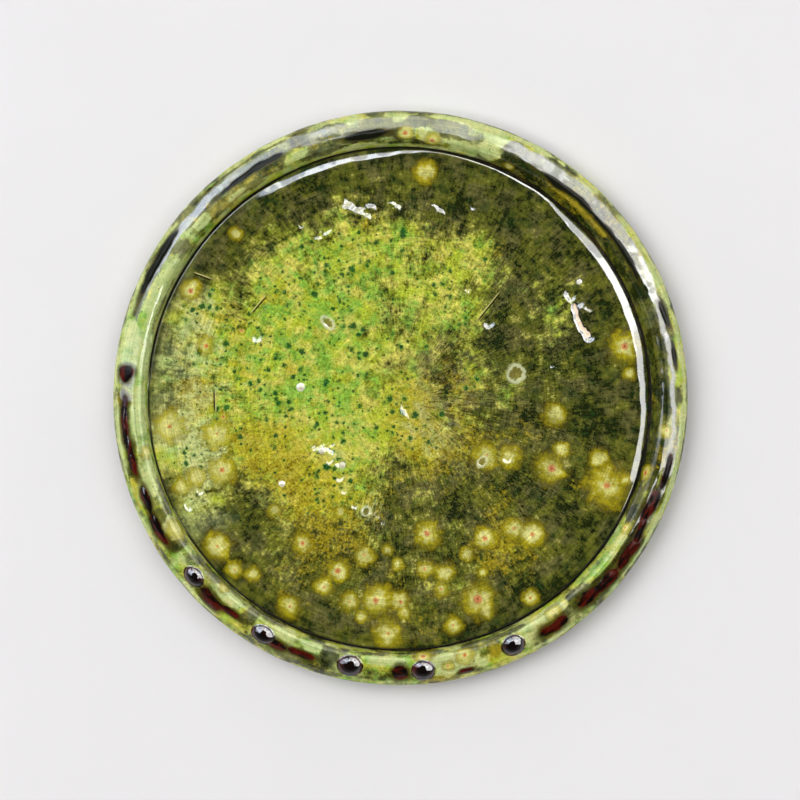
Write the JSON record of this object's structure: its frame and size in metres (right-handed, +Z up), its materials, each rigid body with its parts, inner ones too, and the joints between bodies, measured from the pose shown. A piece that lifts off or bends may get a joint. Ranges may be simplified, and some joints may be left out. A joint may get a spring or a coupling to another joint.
{
  "type": "glazed ceramic plate",
  "caption": "Shallow round glazed earthenware plate with a flat face, a rolled rim, a turned foot ring and glaze drops on the rim.",
  "frame": {"origin": "centre of the foot ring's resting face", "axes": "+Z up, out of the plate's face; +Y towards the row of burst bubbles on the face; the rim's five glaze beads lie towards -Y"},
  "size_m": [0.2, 0.2, 0.0173],
  "materials": {
    "earthenware": "matte, slightly sandy",
    "green_glaze": "glossy, mottled yellow-green to olive",
    "back_glaze": "glossy, thin, streaked",
    "dark_glaze": "glossy, nearly black red-brown",
    "grit": "glazed over, pale"
  },
  "bodies": {
    "root": {"clay_body": "earthenware", "face_glaze": "green_glaze", "rim_glaze": "green_glaze", "back_glaze": "back_glaze", "foot_recess_glaze": "back_glaze", "crease_glaze": "dark_glaze", "crest_glaze_runs": "dark_glaze", "crest_glaze_beads": "dark_glaze", "kiln_grit": "grit"}
  },
  "joints": []
}
